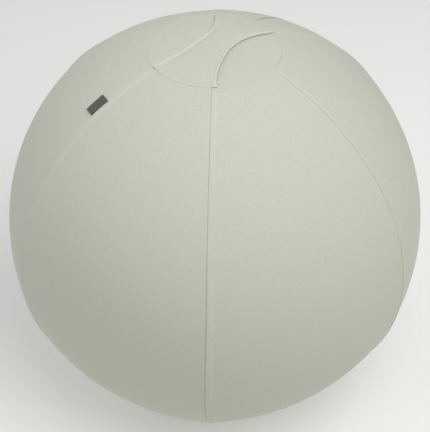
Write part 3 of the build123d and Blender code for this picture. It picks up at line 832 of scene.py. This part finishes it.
# Base seam stitching
# A row of lockstitch on each side of the base seam holds it flat in front, and the zip's tapes behind.
# The row on the cover is in the cover's thread, the one on the base in charcoal.
base_row_inset = 0.004
base_row_rounds = 3
base_thread = sewing_thread("spun polyester thread, charcoal", "#6B6B64")
row_half = gore_half_turn(pi - gore_rim(0, zip_radius + base_row_inset))
row_turn = np.linspace(-row_half, row_half, 120)
cover_rows = []
for gore_middle in gore_middles.values():
    angle = gore_middle + row_turn
    for _ in range(base_row_rounds):
        polar = pi - gore_rim(row_turn, lower_radius(angle) + base_row_inset)
        angle = gore_angle(polar, row_turn, gore_middle)
    from_fold = (row_turn + row_half) * gore_ring(polar)
    row_height = np.interp(from_fold, band_distance, np.maximum(band_height, 0)) + cover_form(polar, angle)
    cover_rows.append(gore_points(polar, row_turn, row_height, gore_middle))
base_row_radius = (base_reach - base_row_inset)[0]
base_row = round_axis(base_row_radius, base_spokes[0], base_level(base_row_radius))
for row_name, paths, thread in [
    ("base_stitches_cover", cover_rows, cover_thread),
    ("base_stitches_panel", [base_row], base_thread),
]:
    base_stitches = beads(row_name, paths, stitch_pitch, stitch_size, thread)
    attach(base_stitches, "ball")


# Zip closure
# A nylon coil zip in the base seam round the back, so that the cover comes off for washing.
# Its woven tapes are sewn behind the edges of the cover and the base, with the coils in the slot between,
# and a strip of lining keeps the bladder off them. The slider, its pull and the stops are painted zinc.
zip_start = radians(-15)
zip_end = radians(195)
tape_tuck = radians(6)
tape_outside = 0.3217
tape_thickness = 0.0007
tape_width = 0.012
coil_gap = 0.0018
coil_width = 0.0024
coil_height = 0.00215
coil_seat = 0.00005
coil_pitch = 0.0015
coil_fill = 0.9
stop_turn = 0.003 / zip_radius
guard_outside = 0.3190
guard_thickness = 0.0006
guard_overlap = 0.008


def zip_points(radius, across, turn):
    """Points at a distance from the ball's centre and across the zip, round the base."""
    polar = pi - zip_turn - across / ball_radius
    return round_axis(radius * np.sin(polar), turn, ball_middle + radius * np.cos(polar))


def zip_strip(name, outside, low, high, thickness, material):
    """A strip of cloth along the zip, between two distances across it."""
    across = np.linspace(high, low, 9)[:, None]
    turn = np.linspace(zip_start - tape_tuck, zip_end + tape_tuck, 200)[None, :]
    flat = np.stack([turn * zip_radius + 0 * across, across + 0 * turn], axis=-1)
    return cloth_piece(name, zip_points(outside, across, turn), flat, thickness, material)


def nylon_coil(name, colour):
    """Heat-set nylon monofilament: smooth and slightly waxy, with faint lines from drawing."""
    relief = {"grain": 0.0003, "strength": 0.15, "depth": 0.0001}
    return grained(name, [colour], finish={"Roughness": 0.35, "IOR": 1.53}, **relief)


def painted_zinc(name, colours):
    """Die-cast zinc in thin satin enamel: slightly uneven in tone, with the orange peel of spray paint."""
    relief = {"grain": 0.0008, "strength": 0.15, "depth": 0.0001}
    finish = {"Metallic": 0.35, "Roughness": 0.38, "Coat Weight": 0.3, "Coat Roughness": 0.2}
    return grained(name, colours, finish=finish, patch=0.004, **relief)


def finish_nodes(material, *nodes):
    """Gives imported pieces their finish."""
    for node in nodes:
        for place in bpy.data.objects[node].material_slots:
            place.material = material


tape_cloth = woven_tape("woven polyester tape, sage", "#B4B5A8", "#A2A396")
lining_cloth = woven_polyester("plain lining polyester, grey", "#8E8E88", "#83837D", "#979791")
coil_nylon = nylon_coil("nylon monofilament, sage", "#A3A496")
zip_enamel = painted_zinc("enamelled zinc casting, grey", ["#767872", "#696B65"])
tape_edge = coil_gap / 2 + tape_width
tape = (tape_outside, tape_thickness, tape_cloth, "zip_tape")
guard = (guard_outside, guard_thickness, lining_cloth, "lining_cloth")
for strip_name, (outside, thickness, material, slot_name), low, high, length, seat in [
    ("zip_tape_cover_side", tape, coil_gap / 2, tape_edge, 0.441, "gore_back_left"),
    ("zip_tape_base_side", tape, -tape_edge, -coil_gap / 2, 0.391, "base_panel"),
    ("zip_guard", guard, -tape_edge, guard_overlap, 0.404, "bladder"),
]:
    strip = zip_strip(f"{strip_name}_cloth", outside, low, high, thickness, material)
    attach(strip, "ball")
    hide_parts(strip_name)
coil_turn = np.linspace(zip_start + stop_turn, zip_end - stop_turn, 400)
coil_middle = tape_outside + coil_seat + coil_height / 2
tooth_size = (coil_height / 2, coil_width / 2, coil_fill * coil_pitch / 2)
for side_name, side in [("cover_side", 1), ("base_side", -1)]:
    coil_path = zip_points(coil_middle, side * (coil_gap + coil_width) / 2, coil_turn)
    teeth = beads(f"zip_teeth_{side_name}", [coil_path], coil_pitch, tooth_size, coil_nylon)
    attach(teeth, "ball")
    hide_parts(f"zip_coil_{side_name}")
finish_nodes(zip_enamel, "zip_stops", "zip_slider", "zip_pull")


# Ballast and its pouch
# A heavy rubber ring that makes the ball right itself, in a flat pouch of lining cloth that lies on the base.
# The pouch is a dished bag round the ring with a well in the middle for the valve, closed by a sewn lid.
pouch_radius = 0.0934
pouch_sphere = 0.3215
pouch_floor = 0.0015
pouch_lid_underside = 0.0208
pouch_top = 0.0217
pouch_cloth = 0.0008
wall_foot = 0.0078
dish_outer_radius = pouch_radius - 0.0004
dish_inner_radius = 0.0720
floor_radius = 0.0705
well_radius = 0.0269
well_corner = 0.0016
well_chamfer = 0.0005
dish_ring = np.linspace(dish_outer_radius, dish_inner_radius, 14)
bag_ring = [
    np.full(8, pouch_radius),
    dish_ring,
    np.linspace(floor_radius, well_radius + well_corner, 24),
    [well_radius + well_chamfer],
    np.full(8, well_radius),
]
bag_level = [
    np.linspace(pouch_lid_underside, wall_foot, 8),
    ball_middle - np.sqrt(pouch_sphere**2 - dish_ring**2),
    np.full(24, pouch_floor),
    [pouch_floor + well_chamfer],
    np.linspace(pouch_floor + well_corner, pouch_lid_underside, 8),
]
lid_ring = [np.linspace(well_radius, pouch_radius, 24)]
lid_level = [np.full(24, pouch_top)]


def turned_sheet(rings, levels, spoke_count):
    """Points of a sheet turned round the ball's axis, from its runs of rings, and their places laid flat."""
    flat_radius = 0.06
    turn = np.linspace(0, 2 * pi, spoke_count)[None, :]
    ring = np.concatenate(rings)
    level = np.concatenate(levels)
    run = np.concatenate([[0], np.cumsum(np.hypot(np.diff(ring), np.diff(level)))])[:, None]
    flat = np.stack([run + 0 * turn, flat_radius * turn + 0 * run], axis=-1)
    return round_axis(ring[:, None], turn, level[:, None]), flat


for pouch_name, rings, levels, across, area in [
    ("pouch_lower", bag_ring, bag_level, 0.226, 0.0387),
    ("pouch_upper", lid_ring, lid_level, 0.187, 0.0251),
]:
    pouch_grid, pouch_flat = turned_sheet(rings, levels, spoke_count=121)
    pouch = cloth_piece(f"{pouch_name}_cloth", pouch_grid, pouch_flat, pouch_cloth, lining_cloth)
    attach(pouch, "ball")
    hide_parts(pouch_name)
finish_nodes(rubber("cast rubber, black", ["#2B2B2A", "#1F1F1E"], grain=0.0012), "ballast_ring")


# Bladder and valve
# The air bladder is two cups of PVC film welded round the middle, so a low bead runs round its widest place.
# It lies flat on the pouch and under the crown. A moulded neck welded into its floor takes a push-in plug.
bladder_radius = 0.3175
bladder_floor = 0.0220
bladder_top = 0.6259
bladder_wall = 0.001
top_inset = 0.006
top_bend = 0.03
floor_inset = 0.004
floor_bend = 0.02
weld_height = 0.0008
weld_half_width = 0.0025
weld_span = (1.55, 1.59)
neck_radius = 0.0071


def pvc(name, colours, ripple):
    """Plasticised PVC: smooth with a soft gloss, faintly cloudy, and gently rippled from the mould."""
    relief = {"grain": ripple, "strength": 0.2, "depth": 0.0003}
    return grained(name, colours, finish={"Roughness": 0.35, "IOR": 1.53}, patch=4 * ripple, **relief)


top_turn = np.arccos((bladder_top - ball_middle) / bladder_radius)
floor_turn = np.arccos((bladder_floor - ball_middle) / bladder_radius)
weld_turn = np.linspace(*weld_span, 9)
side_turn = np.linspace(top_turn + top_bend, floor_turn - floor_bend, 90)
side_turn = np.sort(np.concatenate([side_turn, weld_turn]))
side_radius = bladder_radius + weld_height * bell((side_turn - pi / 2) * bladder_radius, weld_half_width)
bladder_ring = [
    np.linspace(0, bladder_radius * sin(top_turn) - top_inset, 16),
    side_radius * np.sin(side_turn),
    np.linspace(bladder_radius * sin(floor_turn) - floor_inset, neck_radius, 20),
]
side_level = ball_middle + side_radius * np.cos(side_turn)
bladder_level = [np.full(16, bladder_top), side_level, np.full(20, bladder_floor)]
bladder_grid, bladder_flat = turned_sheet(bladder_ring, bladder_level, spoke_count=145)
bladder_film = pvc("PVC film, grey", ["#787A7C", "#6E7072"], ripple=0.012)
bladder = cloth_piece("bladder_film", bladder_grid, bladder_flat, bladder_wall, bladder_film)
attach(bladder, "ball")
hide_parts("bladder")
valve_pvc = pvc("moulded PVC, off-white", ["#E3E3DE", "#DADAD4"], ripple=0.004)
finish_nodes(valve_pvc, "valve_neck", "valve_plug")


# Studio
# A pale floor that glows a little, two large soft lights from the right and from above,
# a pale wall of light at the left and a dim one behind.
floor_half = 40
light_size = 2.4
light_distance = 3.0
white = linear("#FFFFFF")
floor_corners = [(x * floor_half, y * floor_half, 0) for x, y in [(-1, -1), (1, -1), (1, 1), (-1, 1)]]
floor_mesh = bpy.data.meshes.new("floor")
floor_mesh.from_pydata(floor_corners, [], [(0, 1, 2, 3)])
floor = new_object("floor", floor_mesh)
floor_paint, floor_tree = new_material("matt acrylic, lit from below")
paint = {
    "Base Color": linear("#D5D5D3"),
    "Roughness": 0.9,
    "Emission Color": white,
    "Emission Strength": 0.25,
}
floor_shader = add_node(floor_tree, "ShaderNodeBsdfPrincipled", paint)
add_node(floor_tree, "ShaderNodeOutputMaterial", {"Surface": floor_shader[0]})
floor_mesh.materials.append(floor_paint)

world = bpy.data.worlds.new("studio")
bpy.context.scene.world = world
world.use_nodes = True
sky_tree = world.node_tree
sky_tree.nodes.clear()
sky_place = add_node(sky_tree, "ShaderNodeTexCoord")["Generated"]
toward_sky = add_node(sky_tree, "ShaderNodeSeparateXYZ", {0: sky_place})
left_glow = {"Value": toward_sky["X"], "From Min": 0.0, "From Max": -1.0, "To Min": 0.02, "To Max": 1.08}
left_wall = add_node(sky_tree, "ShaderNodeMapRange", left_glow, interpolation_type="SMOOTHSTEP")
back_glow = {"Value": toward_sky["Y"], "From Min": 0.0, "From Max": 1.0, "To Min": 0.0, "To Max": 0.12}
back_wall = add_node(sky_tree, "ShaderNodeMapRange", back_glow)
walls = add_node(sky_tree, "ShaderNodeMath", {0: left_wall[0], 1: back_wall[0]}, operation="ADD")
sky = add_node(sky_tree, "ShaderNodeBackground", {"Color": white, "Strength": walls[0]})
add_node(sky_tree, "ShaderNodeOutputWorld", {"Surface": sky[0]})
ball_centre = Vector((0, 0, ball_middle))


def around(azimuth, elevation, distance):
    """A place round the ball: degrees from the front towards the right, degrees up, and distance."""
    level = cos(radians(elevation)) * distance
    return ball_centre + Vector(
        (sin(radians(azimuth)) * level, -cos(radians(azimuth)) * level, sin(radians(elevation)) * distance)
    )


for light_name, light_place, light_power in [
    ("key", around(50, 56, light_distance), 78),
    ("overhead", around(0, 85, light_distance), 20),
]:
    light_data = bpy.data.lights.new(light_name, "AREA")
    light_data.shape = "SQUARE"
    light_data.size = light_size
    light_data.energy = light_power
    light = new_object(light_name, light_data)
    light.location = light_place
    light.rotation_euler = (ball_centre - light_place).to_track_quat("-Z", "Y").to_euler()

bpy.context.scene.view_settings.view_transform = "Standard"


# Camera
# A short telephoto view from in front and above, a few degrees to the right,
# which frames the ball edge to edge.
camera_drop = 0.0024
camera_roll = -0.003
camera_data = bpy.data.cameras.new("camera")
camera_data.lens = 92.6
camera = new_object("camera", camera_data)
camera.location = around(2.22, 40.8, 1.7765)
camera_target = ball_centre - Vector((0, 0, camera_drop))
camera_aim = (camera_target - camera.location).to_track_quat("-Z", "Y").to_matrix().to_4x4()
camera.rotation_euler = (camera_aim @ Matrix.Rotation(camera_roll, 4, "Z")).to_euler()
bpy.context.scene.camera = camera
